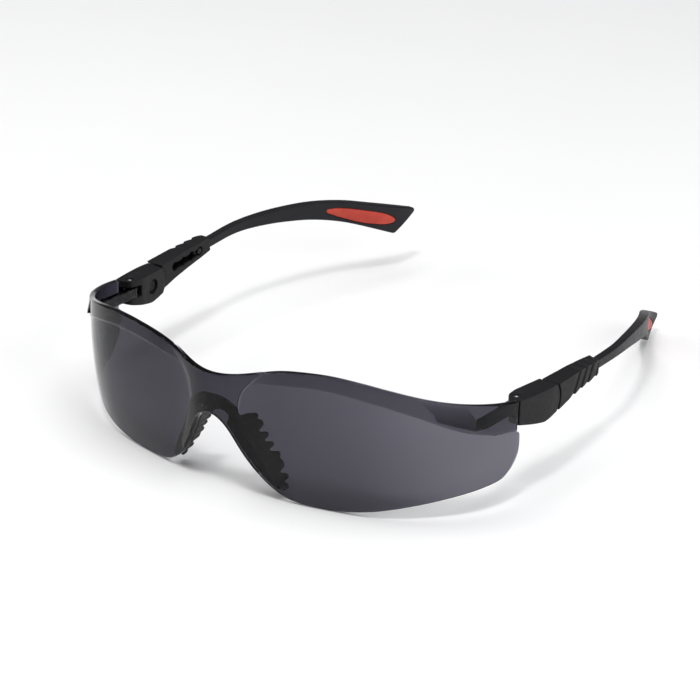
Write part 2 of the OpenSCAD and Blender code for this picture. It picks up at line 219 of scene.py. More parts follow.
def surface(field, low, high, step, passes=0, relax=3):
    """Closed quad mesh of field = 0: one vertex per crossed cell, evened out and pulled onto the surface."""
    axes = [np.arange(low[k], high[k] + step, step) for k in range(3)]
    x, y, z = np.meshgrid(*axes, indexing="ij")
    v = blurred(field(x, y, z), passes)
    n = [len(a) - 1 for a in axes]
    inside = v < 0
    count = np.zeros(n, int)
    for i in (0, 1):
        for j in (0, 1):
            for k in (0, 1):
                count += inside[i:n[0] + i, j:n[1] + j, k:n[2] + k]
    crossed = (count > 0) & (count < 8)
    index = -np.ones(n, int)
    cells = np.argwhere(crossed)
    index[crossed] = np.arange(len(cells))
    total = np.zeros((len(cells), 3))
    hits = np.zeros(len(cells))
    for axis in range(3):
        others = [a for a in range(3) if a != axis]
        for p in (0, 1):
            for q in (0, 1):
                shift = [0, 0, 0]
                shift[others[0]], shift[others[1]] = p, q
                c0 = cells + shift
                c1 = c0.copy()
                c1[:, axis] += 1
                v0, v1 = v[tuple(c0.T)], v[tuple(c1.T)]
                cut = (v0 < 0) != (v1 < 0)
                t = np.where(cut, v0 / np.where(cut, v0 - v1, 1), 0)
                spot = c0.astype(float)
                spot[:, axis] += t
                total[cut] += spot[cut]
                hits[cut] += 1
    points = np.array(low) + step * total / hits[:, None]
    quads = []
    for axis in range(3):
        o1, o2 = (axis + 1) % 3, (axis + 2) % 3
        first = [slice(1, n[a]) for a in range(3)]
        first[axis] = slice(0, n[axis])
        second = list(first)
        second[axis] = slice(1, n[axis] + 1)
        a, b = inside[tuple(first)], inside[tuple(second)]
        for flip in (False, True):
            where = np.argwhere((a & ~b) if not flip else (~a & b))
            base = where.copy()
            for o in (o1, o2):
                base[:, o] += 1
            ring = []
            for d1, d2 in ((-1, -1), (0, -1), (0, 0), (-1, 0)):
                c = base.copy()
                c[:, o1] += d1
                c[:, o2] += d2
                ring.append(index[tuple(c.T)])
            quad = np.stack(ring if not flip else ring[::-1], 1)
            quads.append(quad)
    quads = np.concatenate(quads)

    def at(p):
        return field(p[:, 0], p[:, 1], p[:, 2])

    def pull(p):
        h = step * 0.1
        value = at(p)
        slope = np.stack([(at(p + h * e) - at(p - h * e)) / (2 * h) for e in np.eye(3)], 1)
        size = np.maximum(np.square(slope).sum(1), 0.05)
        move = -slope * (value / size)[:, None]
        far = np.maximum(np.linalg.norm(move, axis=1) / (0.45 * step), 1)
        return p + move / far[:, None]

    edges = np.concatenate([quads[:, [k, (k + 1) % 4]] for k in range(4)])
    for _ in range(relax):
        near = np.zeros_like(points)
        weight = np.zeros(len(points))
        np.add.at(near, edges[:, 0], points[edges[:, 1]])
        np.add.at(weight, edges[:, 0], 1)
        points = 0.5 * points + 0.5 * near / weight[:, None]
        points = pull(pull(points))
    return pull(points), quads


# ---------------------------------------------------------------- the lens's curve

# Half outline from the centre to the temple end: x and y of the rear face in plan, then the heights
# of the top and bottom edges and of the brow band's lower edge.
LENS = np.array([
    [0, -46.9, 3.9, -8.0, 1.2], [4.6, -46.4, 4.2, -10.8, 1.5], [9.2, -45.0, 5.0, -19.2, 2.3],
    [14.2, -43.8, 6.4, -26.3, 3.3], [20.5, -43.2, 8.3, -30.7, 4.4], [28, -42.1, 9.4, -31.7, 5.4],
    [36, -40.5, 9.9, -31.4, 5.8], [44, -37.7, 9.1, -29.9, 4.6], [51, -33.3, 7.3, -27.9, 2.4],
    [57, -27.7, 5.1, -26.1, -0.6], [61.9, -22.1, 3.5, -24.5, -3.9], [65.6, -15.6, 2.1, -23.2, -6.4],
    [68.0, -8.9, 0.9, -21.9, -8.0], [68.9, -3.1, 0.1, -17.4, -8.6]])
WALL = 2.1
CURVE_STEP = 0.1       # distance between two places held of a curve
LEAN = 0.0122          # by how much the lens's backward slope grows with each millimetre below the brow
LEAN_SOFT = 1.2        # height over which the lean sets in
NOSE_SOFTEN = 0.3      # share by which the lens leans back less in its middle
NOSE_SOFTEN_X = 45     # distance from the centre plane at which that share is gone
UPRIGHT_X = 71         # distance from the centre plane at which the lens stands upright
UPRIGHT_POWER = 10


def catmull(rows, t):
    """A smooth curve through the rows, t being the row number."""
    i = np.clip(np.floor(t).astype(int), 0, len(rows) - 2)
    f = (t - i)[:, None]
    b, c = rows[i], rows[i + 1]
    a = np.where((i > 0)[:, None], rows[np.maximum(i - 1, 0)], 2 * b - c)
    d = np.where((i < len(rows) - 2)[:, None], rows[np.minimum(i + 2, len(rows) - 1)], 2 * c - b)
    return 0.5 * (2 * b + (c - a) * f + (2 * a - 5 * b + 4 * c - d) * f ** 2
                  + (3 * b - a - 3 * c + d) * f ** 3)


def smoothed(values, sigma, step):
    """Gaussian smoothing that keeps straight ends straight."""
    half = int(4 * sigma / step)
    kernel = np.exp(-0.5 * (np.arange(-half, half + 1) * step / sigma) ** 2)
    kernel /= kernel.sum()
    head = 2 * values[0] - values[half:0:-1]
    tail = 2 * values[-1] - values[-2:-half - 2:-1]
    return np.convolve(np.concatenate([head, values, tail]), kernel, mode="valid")


class LensCurve:
    """The lens as functions of s, the distance along its rear face in plan from the centre."""

    def __init__(self):
        whole = np.concatenate([LENS[:0:-1] * [-1, 1, 1, 1, 1], LENS])
        t = np.linspace(0, len(whole) - 1, 6001)
        rows = catmull(whole, t)
        s = np.concatenate([[0], np.cumsum(np.hypot(*np.diff(rows[:, :2], axis=0).T))])
        s -= s[-1] / 2
        self.end = s[-1]
        self.s = np.linspace(-self.end, self.end, int(round(2 * self.end / CURVE_STEP)) + 1)
        step = self.s[1] - self.s[0]
        at = [np.interp(self.s, s, rows[:, k]) for k in range(5)]
        self.x = smoothed(at[0], 2.5, step)
        self.y = smoothed(at[1], 2.5, step)
        self.top = smoothed(at[2], 1.8, step)
        self.bottom = smoothed(at[3], 0.9, step)
        self.band = smoothed(at[4], 1.8, step)
        dx, dy = np.gradient(self.x), np.gradient(self.y)
        n = np.hypot(dx, dy)
        self.nx, self.ny = dy / n, -dx / n

    def get(self, name, s):
        """A column at s, carried on straight beyond the ends."""
        v = getattr(self, name)
        inner = np.interp(s, self.s, v)
        if name in ("nx", "ny"):
            return inner
        slope = (v[-1] - v[-6]) / (self.s[-1] - self.s[-6])
        slope0 = (v[5] - v[0]) / (self.s[5] - self.s[0])
        over = np.maximum(s - self.end, 0)
        under = np.minimum(s + self.end, 0)
        return inner + over * slope + under * slope0

    def point(self, s, z, d):
        """The point at s and height z, d millimetres ahead of the rear face."""
        x, y = self.get("x", s), self.get("y", s)
        nx, ny = self.get("nx", s), self.get("ny", s)
        reach = np.clip(np.abs(x) / UPRIGHT_X, 0, 1)
        drop = LEAN_SOFT * np.log1p(np.exp(-z / LEAN_SOFT))
        middle = np.cos(np.pi / 2 * np.minimum(np.abs(x) / NOSE_SOFTEN_X, 1)) ** 2
        back = LEAN / 2 * drop ** 2 * (1 - NOSE_SOFTEN * middle) * (1 - reach ** UPRIGHT_POWER)
        return np.stack([x + nx * d, y + ny * d + back, z + 0 * x], -1)


lens_curve = LensCurve()

BAND_STEP = 0.3        # how proud the brow band stands
RIM_R = 0.28           # the moulded edge's radius
RIM_STEPS = 4
COLUMNS = 440
LOW_ROWS = 64          # rows of cells below the brow band, across its step, and on the band
STEP_ROWS = 4
BAND_ROWS = 10
STEP_HALF = 0.22       # half the height of the band's step
CREASE_CUT = 0.28      # how much thinner the eye parts are than the nose part
CREASE_DEEP = 0.5      # depth and half width of the groove along the crease
CREASE_WIDE = 0.3
NOSE_AHEAD = 0.6       # how far the nose part stands ahead of the eye parts' curve
NOSE_RATE = 0.35       # how quickly it gets there behind the crease
# How much thinner the lens is than at the nose, over the distance from its middle, and the share of
# that which the brow band is spared
TAPER = ([0, 14, 28, 45, 62, 90], [0.0, 0.0, 0.06, 0.12, 0.36, 0.62])
BAND_SPARED = 0.45

# The eye contour's crease on each side of the nose: its distance from the middle over its height
CREASE_Z = [-22, -16, -10, -5.8, -0.9, 1.5, 4.9, 8]
CREASE_X = [13.5, 10.6, 8.6, 7.9, 8.8, 10.5, 13.8, 17.5]


def crease_inside(s, z):
    """How far within the two creases a place lies; the creases' line is smoothed a little."""
    line = sum(np.interp(z + k, CREASE_Z, CREASE_X) for k in (-1.6, -0.8, 0, 0.8, 1.6)) / 5
    return line - np.abs(s)


def crease_bend(s, z):
    """How far the nose part of the lens stands ahead of the eye parts' curve."""
    inside = crease_inside(s, z)
    soft = 0.5 * (inside + np.sqrt(inside ** 2 + 0.2 ** 2)) - 0.1
    return NOSE_AHEAD * (1 - np.exp(-NOSE_RATE * np.maximum(soft, 0)))


def column_places():
    """Column positions from -1 to 1, closer together about the nose."""
    v = np.linspace(-1, 1, 4001)
    density = 1 + 2.4 * (1 - ease(np.abs(v) * lens_curve.end, 16, 22))
    run = np.cumsum(density)
    run = (run - run[0]) / (run[-1] - run[0])
    return np.interp(np.linspace(0, 1, COLUMNS + 1), run, v)


def lens_outline_curves():
    """Bottom, band and top edges of the lens from its right end to its left one, as (s, z)."""
    c = lens_curve
    end = c.end
    u = column_places()
    top = np.stack([u * end, c.get("top", u * end)], 1)
    band = np.stack([u * end, c.get("band", u * end)], 1)
    # The lower corner: where the bottom edge turns up to the temple end
    corner = np.array([[end - 19, 0], [end - 12.5, 0], [end - 6.3, -22.0], [end - 4.0, -21.0],
                       [end - 1.4, -19.0], [end + 0.5, -16.7]])
    corner[0, 1] = c.get("bottom", corner[0, 0])
    corner[1, 1] = c.get("bottom", corner[1, 0])
    t = np.linspace(0, len(corner) - 1, 121)
    turn = catmull(corner, t)
    s_mid = np.linspace(-(end - 19), end - 19, 800)[1:-1]
    mid = np.stack([s_mid, c.get("bottom", s_mid)], 1)
    line = np.concatenate([turn[::-1] * [-1, 1], mid, turn])
    run = np.concatenate([[0], np.cumsum(np.hypot(*np.diff(line, axis=0).T))])
    # Columns stay upright over most of the lens and spread into the corner near its ends
    upright = u * (end + 0.5)
    line_u = np.interp(upright, line[:, 0], run)
    spread = run[-1] * (u + 1) / 2
    mix = ease(np.abs(u), 0.72, 1.0)
    at = line_u * (1 - mix) + spread * mix
    bottom = np.stack([np.interp(at, run, line[:, k]) for k in (0, 1)], 1)
    # The ends: straight beside the hinge block, a notch, then the lower part bulges back
    z_band = band[-1, 1]
    side = np.array([[end + 0.5, -16.7], [end + 1.15, -15.2], [end + 1.5, -13.0], [end + 1.5, -10.8],
                     [end + 1.15, -9.6], [end + 0.35, z_band - 0.45], [end, z_band]])
    t = np.linspace(0, len(side) - 1, 241)
    side = catmull(side, t)
    run = np.concatenate([[0], np.cumsum(np.hypot(*np.diff(side, axis=0).T))])
    w = row_share(LOW_ROWS)
    low_end = np.stack([np.interp(w * run[-1], run, side[:, k]) for k in (0, 1)], 1)
    return u, bottom, band, top, low_end


def row_share(rows):
    """Row positions, closer together at both edges."""
    w = np.linspace(0, 1, rows + 1)
    return w - 0.35 * np.sin(2 * np.pi * w) / (2 * np.pi)


def coons(u, bottom, top, left, right):
    """Grid filled between four edge curves; the rows run along left and right."""
    u = (u[:, None, None] + 1) / 2
    run = np.concatenate([[0], np.cumsum(np.hypot(*np.diff(right, axis=0).T))])
    w = (run / run[-1])[None, :, None]
    b, t = bottom[:, None], top[:, None]
    # The ends' own shape dies out within the outer tenth of the lens
    pull_left = (1 - ease(u, 0, 0.12))
    pull_right = ease(u, 0.88, 1)
    ruled = (1 - w) * b + w * t
    left_off = left[None] - ruled[:1]
    right_off = right[None] - ruled[-1:]
    return ruled + pull_left * left_off + pull_right * right_off


def lens_shell():
    """The lens as a front and a rear grid, closed by a rounded rim."""
    c = lens_curve
    u, bottom, band, top, low_end = lens_outline_curves()
    inset_low = np.array([0.0, STEP_HALF])
    low = coons(u, bottom, band - inset_low, low_end * [-1, 1], low_end)
    step_z = np.linspace(-STEP_HALF, STEP_HALF, STEP_ROWS + 1)
    high = np.zeros((len(u), STEP_ROWS + BAND_ROWS + 1, 2))
    for k in range(high.shape[1]):
        if k <= STEP_ROWS:
            high[:, k] = band + [0, step_z[k]]
        else:
            f = (k - STEP_ROWS) / BAND_ROWS
            f = f + 0.12 * np.sin(np.pi * f)
            high[:, k, 0] = band[:, 0] * (1 - f) + top[:, 0] * f
            high[:, k, 1] = (band[:, 1] + STEP_HALF) * (1 - f) + top[:, 1] * f
    low[:, -1] = high[:, 0]
    grid = np.concatenate([low, high[:, 1:]], 1)
    nu, nw = grid.shape[:2]
    loop = ([(i, 0) for i in range(nu)] + [(nu - 1, j) for j in range(1, nw)]
            + [(i, nw - 1) for i in range(nu - 2, -1, -1)] + [(0, j) for j in range(nw - 2, 0, -1)])
    ring = np.array([grid[i, j] for i, j in loop])
    along = np.roll(ring, -1, 0) - np.roll(ring, 1, 0)
    along += 0.5 * (np.roll(along, 1, 0) + np.roll(along, -1, 0))
    out = np.stack([along[:, 1], -along[:, 0]], 1)
    out /= np.linalg.norm(out, axis=1)[:, None]
    for (i, j), o in zip(loop, out):
        grid[i, j] -= o * RIM_R
    # Rows next to the edge follow it in, so that no cell folds over
    grid[:, 1] = 0.5 * (grid[:, 0] + grid[:, 2])
    grid[:, -2] = 0.5 * (grid[:, -1] + grid[:, -3])
    grid[1] = 0.5 * (grid[0] + grid[2])
    grid[-2] = 0.5 * (grid[-1] + grid[-3])

    s, z = grid[..., 0], grid[..., 1]
    band_here = c.get("band", np.clip(s, -c.end, c.end))
    rise = ease(z - band_here, -STEP_HALF, STEP_HALF) * ease(np.abs(s), 9, 20)
    bend = (crease_bend(s, z) - NOSE_AHEAD) * ease(60 - np.abs(s), 0, 30)
    d_front = WALL - BAND_STEP + BAND_STEP * rise + bend
    crease = crease_inside(s, z)
    d_rear = bend + CREASE_CUT * ease(-crease, -CREASE_WIDE, CREASE_WIDE)
    d_rear += np.interp(np.abs(s), *TAPER) * (1 - BAND_SPARED * rise)
    d_rear += CREASE_DEEP * np.exp(-(crease / CREASE_WIDE) ** 2)
    rows = [c.point(s, z, d_front).reshape(-1, 3), c.point(s, z, d_rear).reshape(-1, 3)]
    n = nu * nw
    idx = np.arange(n).reshape(nu, nw)
    quad = np.stack([idx[:-1, :-1], idx[1:, :-1], idx[1:, 1:], idx[:-1, 1:]], -1).reshape(-1, 4)
    quads = [quad, quad[:, ::-1] + n]
    loop_index = np.array([idx[i, j] for i, j in loop])
    base = np.array([grid[i, j] for i, j in loop])
    df = np.array([d_front[i, j] for i, j in loop])
    dr = np.array([d_rear[i, j] for i, j in loop])
    rings = [loop_index]
    count = 2 * n
    angles = np.linspace(0, np.pi / 2, RIM_STEPS + 1)[1:]
    for side in (0, 1):
        for a in (angles if side == 0 else angles[::-1]):
            p = base + out * RIM_R * math.sin(a)
            d = df - RIM_R * (1 - math.cos(a)) if side == 0 else dr + RIM_R * (1 - math.cos(a))
            rows.append(c.point(p[:, 0], p[:, 1], d))
            rings.append(np.arange(count, count + len(loop)))
            count += len(loop)
    rings.append(loop_index + n)
    for a, b in zip(rings[:-1], rings[1:]):
        quads.append(np.stack([np.roll(a, -1), a, b, np.roll(b, -1)], 1))
    return np.concatenate(rows), np.concatenate(quads)


# The raised shoulder ahead of each lug: s and z of its front, lower and rear corners
SHOULDER = [(60.3, 4.2), (63.7, 0.7), (63.9, -0.6), (67.5, -1.95), (74.4, -4.7), (74.5, -1.0), (73.6, 0.1),
            (71.7, 2.3)]
SHOULDER_RISE = 0.8       # how proud it stands at its lower edge
SHOULDER_HEIGHT = 6.0


def shoulder_outline():
    s = np.linspace(SHOULDER[-1][0] - 0.3, SHOULDER[0][0] + 0.1, 20)
    top = np.stack([s, lens_curve.get("top", s) - 0.3], 1)
    return np.concatenate([SHOULDER, top])


def shoulder_field(s, z, d):
    """A raised patch on the brow band, flush at its top, in the lens's own coordinates."""
    down = np.clip((lens_curve.get("top", s) - z) / SHOULDER_HEIGHT, 0, 1)
    return both(shoulder_edge(s, z), np.maximum(0.9 - d, d - WALL - SHOULDER_RISE * down), 0.12)


LUG_BOTTOM, LUG_TOP = -5.5, -2.2
LUG_EYE_R = 1.95
PIN_R = 1.1
PIN_GAP = 0.05            # radial clearance of a pin that turns in a bore
SKIN = 0.1                # gap between faces that turn past each other


def lug_field(x, y, z):
    """The straight bar behind the lens end, with the eye of the hinge pin."""
    eye = length(x - PIN_X, y) - LUG_EYE_R
    bar = convex(x, y, [(65.5, -16.6), (66.3, -16.6), (67.2, -13.5), (67.2, 0.6), (65.5, 0.6)], 0.2)
    body = both(either(eye, bar, 0.3), slab(z, LUG_BOTTOM, LUG_TOP), 0.15)
    return without(body, length(x - PIN_X, y) - PIN_R - PIN_GAP, 0.12)


# ---------------------------------------------------------------- outlines in a plane


def fillet(points, radii, steps=8):
    """A closed outline with arcs in place of its corners."""
    out = []
    n = len(points)
    for k in range(n):
        p, a, b = (np.array(points[i % n], float) for i in (k, k - 1, k + 1))
        r = radii[k] if hasattr(radii, "__len__") else radii
        da, db = a - p, b - p
        la, lb = np.linalg.norm(da), np.linalg.norm(db)
        da, db = da / la, db / lb
        cosine = float(np.clip(da @ db, -1, 1))
        half = math.acos(cosine) / 2
        if r <= 0 or half > 1.5:
            out.append(p)
            continue
        cut = min(r / math.tan(half), 0.45 * la, 0.45 * lb)
        r = cut * math.tan(half)
        mid = (da + db) / np.linalg.norm(da + db)
        centre = p + mid * r / math.sin(half)
        start, end = p + da * cut - centre, p + db * cut - centre
        a0, a1 = math.atan2(start[1], start[0]), math.atan2(end[1], end[0])
        turn = (a1 - a0 + math.pi) % (2 * math.pi) - math.pi
        out += [centre + r * np.array([math.cos(a0 + turn * i / steps), math.sin(a0 + turn * i / steps)])
                for i in range(steps + 1)]
    return np.array(out)


def polygon_distance(points, a, b):
    """Signed distance from (a, b) to a closed outline, negative inside."""
    best = np.full(a.shape, 1e9)
    inside = np.zeros(a.shape, bool)
    for p, q in zip(points, np.roll(points, -1, 0)):
        ex, ey = q - p
        size = ex * ex + ey * ey
        if size < 1e-14:
            continue
        wx, wy = a - p[0], b - p[1]
        t = np.clip((wx * ex + wy * ey) / size, 0, 1)
        best = np.minimum(best, (wx - ex * t) ** 2 + (wy - ey * t) ** 2)
        hit = (p[1] <= b) != (q[1] <= b)
        if hit.any():
            side = wx < ex * wy / (ey if abs(ey) > 1e-12 else 1e-12)
            inside ^= hit & side
    return np.where(inside, -1, 1) * np.sqrt(best)


class Outline:
    """A closed outline's distance, held on a fine table so that it is quick to look up."""

    def __init__(self, points, margin=2.0, step=0.1):
        points = np.array(points, float)
        self.low = points.min(0) - margin
        high = points.max(0) + margin
        self.step = step
        axes = [np.arange(self.low[k], high[k] + step, step) for k in (0, 1)]
        a, b = np.meshgrid(*axes, indexing="ij")
        self.table = polygon_distance(points, a, b)

    def __call__(self, a, b):
        n = self.table.shape
        fa = np.clip((a - self.low[0]) / self.step, 0, n[0] - 1.001)
        fb = np.clip((b - self.low[1]) / self.step, 0, n[1] - 1.001)
        i, j = fa.astype(int), fb.astype(int)
        u, v = fa - i, fb - j
        t = self.table
        return ((t[i, j] * (1 - u) + t[i + 1, j] * u) * (1 - v)
                + (t[i, j + 1] * (1 - u) + t[i + 1, j + 1] * u) * v)


# ---------------------------------------------------------------- nose piece

ARCH = np.array([[0, -2.9], [4, -3.5], [7.4, -5.9], [9.4, -9.8], [11.4, -14.4],
                 [13.8, -18.8], [16.2, -22.8], [18.7, -27.6]])
BRIDGE_BACK = 1.9
# The band's lower edge about the middle, where it leaves a crescent of the lens bare
BRIDGE_HOLLOW = np.array([[4.5, 0], [4.95, -9.6], [5.3, -8.2], [4.3, -7.05], [2.9, -6.7], [1.3, -7.1],
                          [0, -7.6]])


def bridge_outline():
    """The nose bridge's outline: the arch above, and the lens's edge and the hollow below."""
    c = lens_curve
    high = catmull(ARCH, np.linspace(0, len(ARCH) - 1, 71))
    s_low = np.linspace(18.2, BRIDGE_HOLLOW[0][0], 60)
    low = np.stack([s_low, c.get("bottom", s_low) + 0.35], 1)
    hollow = np.concatenate([low[-1:], BRIDGE_HOLLOW[1:]])
    hollow = catmull(hollow, np.linspace(0, len(hollow) - 1, 31))
    low = np.concatenate([low[:-1], hollow])
    half = np.concatenate([high, low[:-1]])
    mirrored = half[1:][::-1] * [-1, 1]
    return np.concatenate([half, [[0, low[-1, 1]]], mirrored])


bridge_edge = Outline(bridge_outline())
shoulder_edge = Outline(shoulder_outline(), step=0.06)


def bridge_field(s, z, d):
    """A rubber band behind the nose cut, thickest in its middle, in the lens's own coordinates."""
    edge = bridge_edge(s, z)
    back = BRIDGE_BACK - 0.35 * ease(edge, -1.2, 0)
    return both(edge, slab(d, -back, -0.06), 0.3)


PAD_TOP = np.array([5.7, -43.1, -9.6])
PAD_LEAN, PAD_FLARE = math.radians(31), math.radians(4)

# Side outline of a pad, as distance back and down: its top, then for each fin the upper and lower end
# of its tip and the notch below it
PAD_HEAD = [(0.3, -0.3), (4.8, 0.2)]
PAD_FINS = [((7.6, 1.15), (7.75, 2.5), (7.15, 2.8)), ((8.3, 3.45), (8.5, 5.1), (5.42, 5.97)),
            ((8.6, 7.15), (8.6, 8.35), (5.94, 8.99)), ((8.95, 10.15), (8.95, 11.25), (6.27, 11.94)),
            ((9.55, 13.3), (9.75, 14.7), (8.9, 15.0)), ((9.6, 15.7), (9.6, 17.8), (6.72, 18.6)),
            ((9.1, 19.7), (9.2, 21.1), (7.05, 21.55)), ((7.9, 22.1), (7.8, 23.6), (6.3, 23.7))]
PAD_FOOT = [(4.2, 21.9), (2.9, 14), (1.3, 6)]


def pad_turn():
    cl, sl = math.cos(-PAD_LEAN), math.sin(-PAD_LEAN)
    cf, sf = math.cos(-PAD_FLARE), math.sin(-PAD_FLARE)
    lean = np.array([[cl, 0, sl], [0, 1, 0], [-sl, 0, cl]])
    flare = np.array([[cf, -sf, 0], [sf, cf, 0], [0, 0, 1]])
    # Local x runs back, local y down, local z across the blade
    stand = np.array([[0, 0, -1], [1, 0, 0], [0, -1, 0]], float)
    return lean @ flare @ stand


pad_points = PAD_HEAD + [p for fin in PAD_FINS for p in fin] + PAD_FOOT
pad_radii = [0.3, 1.0] + [0.65, 0.65, 0.3] * len(PAD_FINS) + [1.5, 2, 2]
pad_side = Outline(fillet(pad_points, pad_radii), step=0.06)


def pad_field(back, drop, across):
    """A thin blade with drooping rounded fins along its rear edge, ribbed on the side that faces the nose."""
    outline = pad_side(back, drop)
    rib = np.full(back.shape, 1e9)
    for high, low, _ in PAD_FINS:
        tip = (max(high[0], low[0]) - 0.8, (high[1] + low[1]) / 2)
        along = np.clip(tip[0] - back, 0, 3.6)
        rib = np.minimum(rib, length(back - tip[0] + along, drop - tip[1] - 0.05 * along))
    swell = 0.42 * (1 - ease(rib, 0.3, 1.05))
    return both(outline, np.maximum(-across - 0.55 - swell, across - 0.6 - 0.4 * swell), 0.25)


# ---------------------------------------------------------------- hinge blocks

BLOCK_ROUND = 6.8
block_top_edge = [(69.1, -2.8), (71.1, -2.8), (72.2, 4.4), (72.7, 9.6), (72.7, 16.2), (66.95, 16.2),
                  (65.5, 3.0), (65.83, -0.3), (66.09, -1.1), (66.59, -1.69), (67.25, -2.07)]
block_side_edge = [(-2.8, 0.0), (-2.8, -7.3), (4.0, -8.95), (8.3, -9.65), (10.8, -9.35), (16.2, -8.0),
                   (16.2, 0.0)]
EDGE_R = 0.22
KNUCKLE_R = 2.72          # radius of the slot in which the lug turns
PRESSED_R = 1.14          # the bore that holds the hinge pin
RING_R, RING_TUBE = 2.75, 0.13        # the fine groove about the pin, in the block's top
TONGUE_R = 3.4            # the sleeve's round tongue, which the block's fork holds
TONGUE_X = (68.3, 71.2)
NECK_HALF = 1.9           # half the height of the neck behind the tongue
FORK_SPREAD = 0.269       # tangent of the angle by which the fork's mouth opens on each side
TILT_PIN_R = 1.4
RECESS_R, RECESS_DEEP = 2.3, 1.2
HEAD_R = 1.78             # the tilt pin's head, in the recess
HEAD_FROM, HEAD_TO = 0.75, 1.16       # where it lies, measured from the block's inner side
BLOCK_FACE = 65.5 + (TILT[1] - 3.0) * 1.45 / 13.2   # the block's inner side beside the tilt pin


def block_field(x, y, z):
    """Hinge block: round about the hinge pin in front, round about the tilt pin behind."""
    plan = convex(x, y, block_top_edge, EDGE_R)
    arc = length(y - TILT[1], z - TILT[2])
    behind = np.where(y > TILT[1], arc, np.abs(z - TILT[2])) - BLOCK_ROUND
    side = both(convex(y, z, block_side_edge, EDGE_R), behind, 0.15)
    body = both(plan, side, EDGE_R)
    across = x - PIN_X
    from_pin = length(across, y)
    slot = np.minimum(np.maximum(across - KNUCKLE_R, y), np.maximum(across, y - KNUCKLE_R))
    slot = np.minimum(from_pin - KNUCKLE_R, slot)
    body = without(body, both(slot, slab(z, LUG_BOTTOM - SKIN, LUG_TOP + SKIN), 0.1), 0.12)
    mouth = NECK_HALF + SKIN + np.maximum(y - TILT[1], 0) * FORK_SPREAD
    swing = np.maximum(np.abs(z - TILT[2]) - mouth, TILT[1] - y)
    fork = np.minimum(arc - TONGUE_R - SKIN, swing)
    fork = np.maximum(fork, slab(x, TONGUE_X[0] - SKIN, TONGUE_X[1] + SKIN))
    body = without(body, fork, 0.1)
    body = without(body, from_pin - PRESSED_R, 0.18)
    ring = np.maximum(length(from_pin - RING_R, z) - RING_TUBE, -2.2 - y)
    body = without(body, ring, 0.05)
    recess = both(arc - RECESS_R, x - BLOCK_FACE - RECESS_DEEP, 0.1)
    return without(body, recess, 0.14)


def hinge_pin_field(x, y, z):
    """The steel pin, with a dimple in its top."""
    r = length(x - PIN_X, y)
    body = both(r - PIN_R, slab(z, -8.0, -0.5), 0.16)
    return without(body, length(r, z + 0.42) - 0.42, 0.06)


def tilt_pin_field(x, y, z):
    """The pin that the sleeve tilts on: a dished head in the block's recess, and its shank."""
    r = length(y - TILT[1], z - TILT[2])
    low, high = BLOCK_FACE + HEAD_FROM, BLOCK_FACE + HEAD_TO
    head = both(r - HEAD_R, slab(x, low, high), 0.14)
    dish = length(np.maximum(r - 0.95, 0), x - low) - 0.16
    shank = both(r - TILT_PIN_R, slab(x, low, 71.7), 0.1)
    return either(without(head, dish, 0.06), shank, 0.05)


# ---------------------------------------------------------------- sleeves

GRIPS = (27.6, 31.4, 35.1)
GRIP_SLANT = 0.53       # how far a grip line runs forward for each millimetre down
GRIP_STEP = 0.32        # depth of a grip step, and the run of its steep side
GRIP_EDGE = 0.16
GROOVE_DEEP = 0.34
SLEEVE_TOP = ((8.0, -0.15), (27.0, -0.2), (39.0, -0.7))
SLEEVE_PLAN = [(67.1, 8), (73.0, 8), (72.9, 16), (71.9, 37), (71.3, 39), (67.9, 39), (67.6, 34)]
SLEEVE_UNDER = ((8.0, -8.4), (14.0, -8.4), (21.0, -7.1), (28.0, -6.3), (39.0, -5.4))
SLEEVE_GAP = 0.34       # the round seam between block and sleeve
# The passage for the arm: its half width, its shift outward, its bottom, top and front. It clears the
# arm at every length, whose root bows outward and stands a little higher behind the sleeve.
PASSAGE_HALF, PASSAGE_OUT = 1.3, 0.05
PASSAGE_LOW, PASSAGE_HIGH, PASSAGE_FRONT = -4.97, -1.5, 18.7
SLOT_Z = -3.4
SLOT_HALF, NOTCH_R, NOTCH_RISE = 1.02, 1.42, 0.08
SLOT_FLOOR_X = 69.0
PEG_Y, CLICK_PITCH, NOTCHES = 33.4, 4.1, 4
sleeve_plan = Outline(fillet(SLEEVE_PLAN, [0.3, 0.3, 6, 2.0, 0.35, 0.35, 4]))
sleeve_side = Outline(fillet([SLEEVE_TOP[0], SLEEVE_TOP[1], SLEEVE_TOP[2], SLEEVE_UNDER[4], SLEEVE_UNDER[3],
                              SLEEVE_UNDER[2], SLEEVE_UNDER[1], SLEEVE_UNDER[0]],
                             [0.3, 6, 0.35, 0.35, 4, 4, 5, 0.3]))


def slide_x(y):
    """The arm root's centre line: it runs slightly inward towards the rear."""
    return 69.4 - 0.044 * (y - 39.0)


def grip_inset(x, y, z):
    """Saw-tooth steps and their grooves across the top, down the outer side and under the sleeve."""
    top = np.interp(y, [p[0] for p in SLEEVE_TOP], [p[1] for p in SLEEVE_TOP])
    outer = ease(x, 69.2, 70.6)
    q = y + GRIP_SLANT * np.maximum(top - z, 0) * np.maximum(outer, ease(top - z, 2.5, 4.5))
    edges = list(GRIPS) + [39.6]
    inset = GRIP_STEP * ease(q, GRIPS[0] - 3.2, GRIPS[0] - 0.2) * np.clip((GRIPS[0] - q) / GRIP_EDGE, 0, 1)
    for a, b in zip(edges[:-1], edges[1:]):
        run = np.clip((q - a) / (b - a), 0, 1)
        inset = inset + GRIP_STEP * run ** 1.3 * np.clip((b - q) / GRIP_EDGE, 0, 1)
    groove = sum(np.maximum(GROOVE_DEEP - np.abs(q - g + 0.12) * 1.9, 0) for g in GRIPS)
    bottom = np.interp(y, [p[0] for p in SLEEVE_UNDER], [p[1] for p in SLEEVE_UNDER])
    on_top = ease(z - top, -0.9, -0.5)
    under = ease(bottom - z, -0.9, -0.5)
    across = ease(x, 68.2, 69.2)
    return (inset + groove * outer) * np.maximum(np.maximum(on_top, under) * across, outer)


